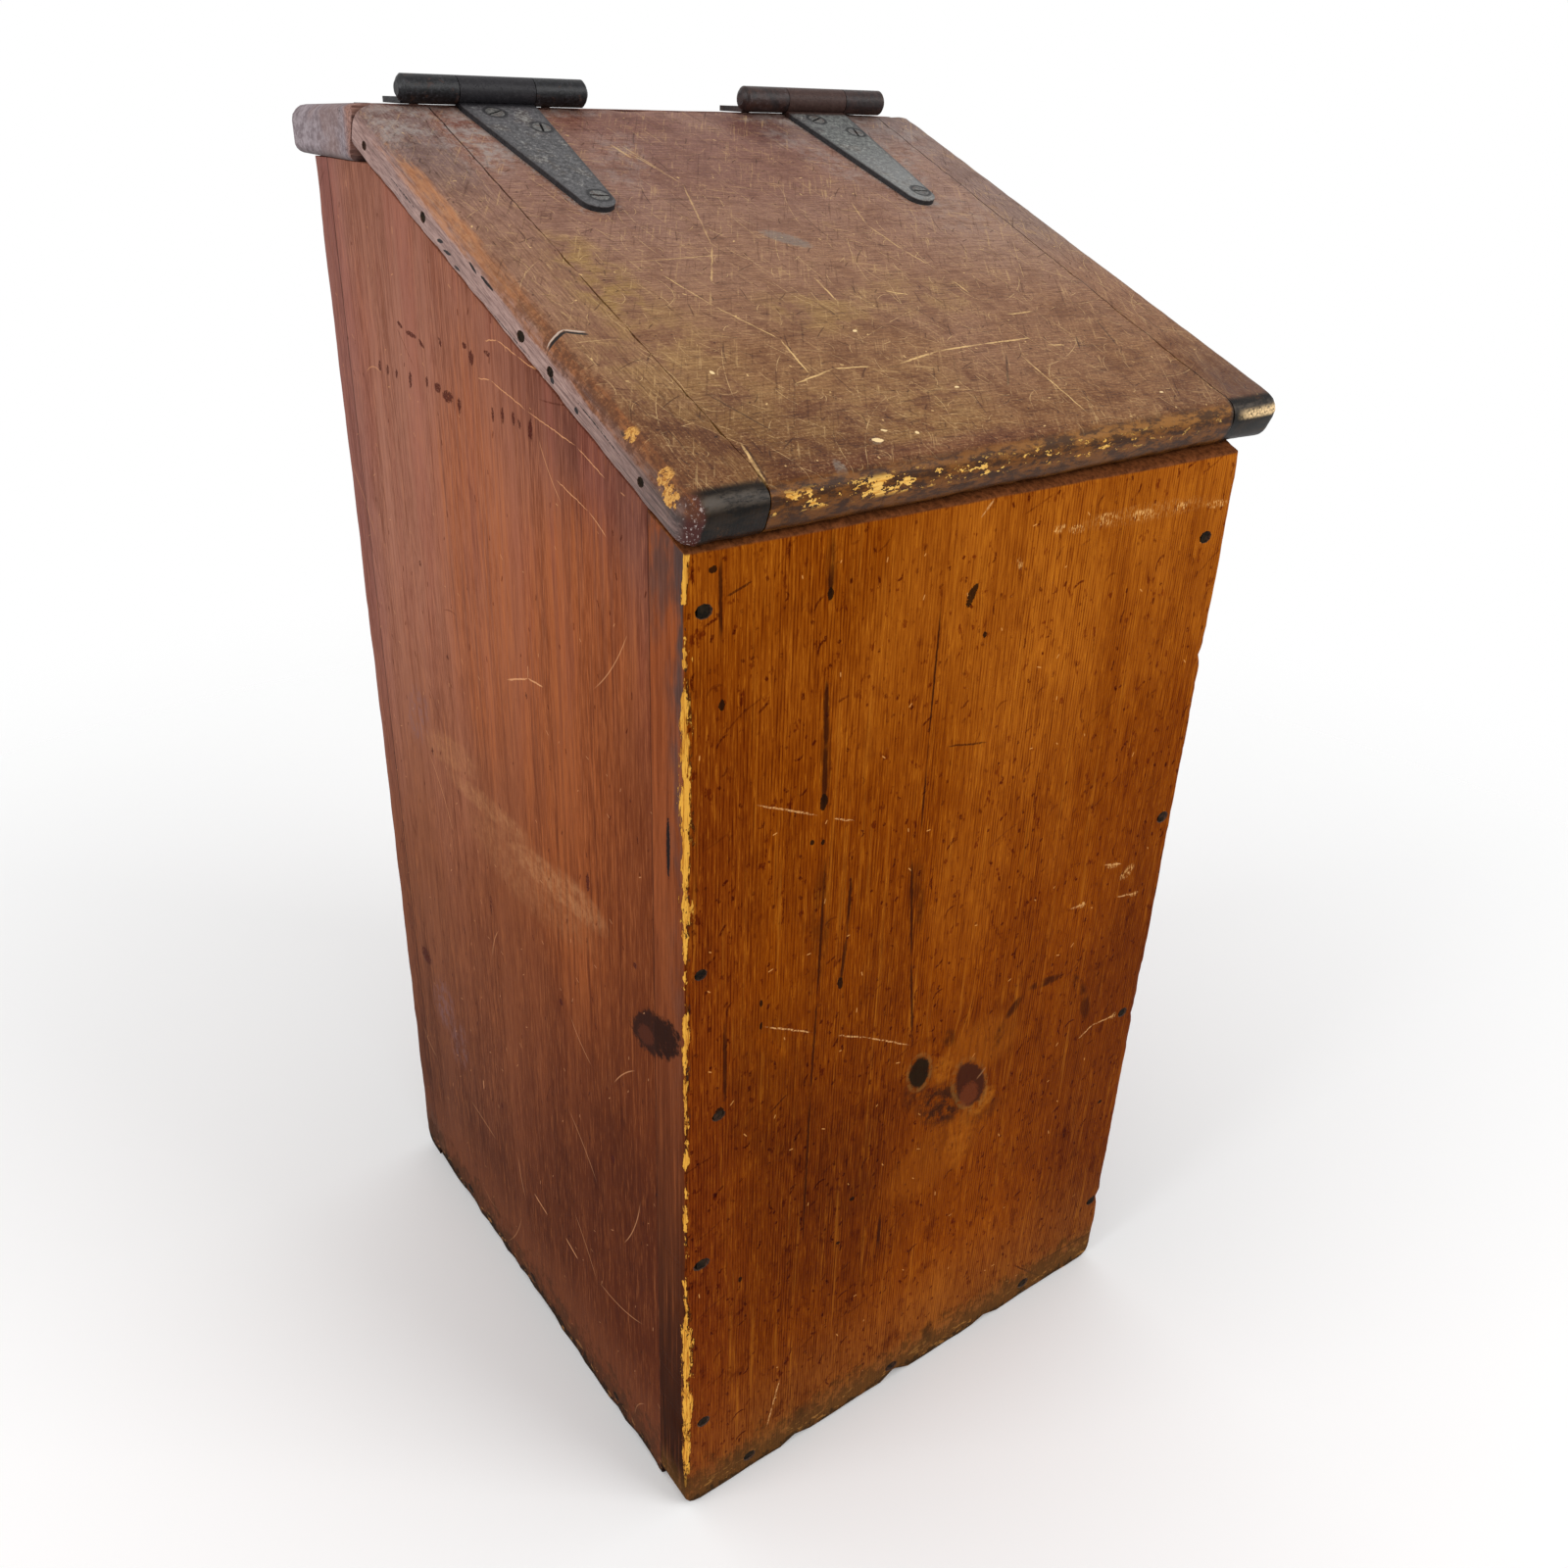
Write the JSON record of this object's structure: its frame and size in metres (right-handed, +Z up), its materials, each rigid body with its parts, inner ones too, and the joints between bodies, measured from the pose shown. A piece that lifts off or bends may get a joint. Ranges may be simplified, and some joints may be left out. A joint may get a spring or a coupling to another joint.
{
  "type": "slant-top chest",
  "caption": "Narrow slant-top storage chest of nailed pine boards, with a breadboard-ended lid on two iron T-hinges that opens right back.",
  "frame": {"origin": "middle of the four walls' footprint, on the floor, at the underside of the bottom board", "axes": "+Z up; the front board faces -Y; +X is to the right of someone who faces the front"},
  "size_m": [0.3247, 0.3546, 0.6388],
  "materials": {
    "front_pine": "old varnish, glossy orange brown, grimy at the foot",
    "wall_pine": "worn red-brown stain, satin",
    "bottom_pine": "bare, sawn",
    "rail_pine": "weathered grey, matt",
    "lid_pine": "worn brown stain, scratched, satin",
    "nail_iron": "rust-black, matt",
    "hinge_iron": "blackened, satin",
    "strap_iron": "worn grey, dull",
    "screw_iron": "worn grey, dull"
  },
  "bodies": {
    "chest": {"front_board": "front_pine", "left_side_board": "wall_pine", "right_side_board": "wall_pine", "back_board": "wall_pine", "bottom_board": "bottom_pine", "top_rail": "rail_pine", "front_board_nails": "nail_iron", "back_board_nails": "nail_iron", "bottom_board_nails": "nail_iron", "rail_nails": "nail_iron", "left_hinge_rail_leaf": "hinge_iron", "left_hinge_pin": "hinge_iron", "left_rail_leaf_screws": "screw_iron", "right_hinge_rail_leaf": "hinge_iron", "right_hinge_pin": "hinge_iron", "right_rail_leaf_screws": "screw_iron"},
    "lid": {"lid_panel": "lid_pine", "left_lid_batten": "lid_pine", "right_lid_batten": "lid_pine", "left_batten_nails": "nail_iron", "right_batten_nails": "nail_iron", "left_hinge_strap": "strap_iron", "right_hinge_strap": "strap_iron", "left_strap_screws": "screw_iron", "right_strap_screws": "screw_iron"}
  },
  "joints": [
    {"name": "lid_hinge", "type": "hinge", "parent": "chest", "child": "lid", "pos_m": [0, 0.09643, 0.6329], "axis": [-1, 0, 0], "range_deg": [0, 205]}
  ]
}
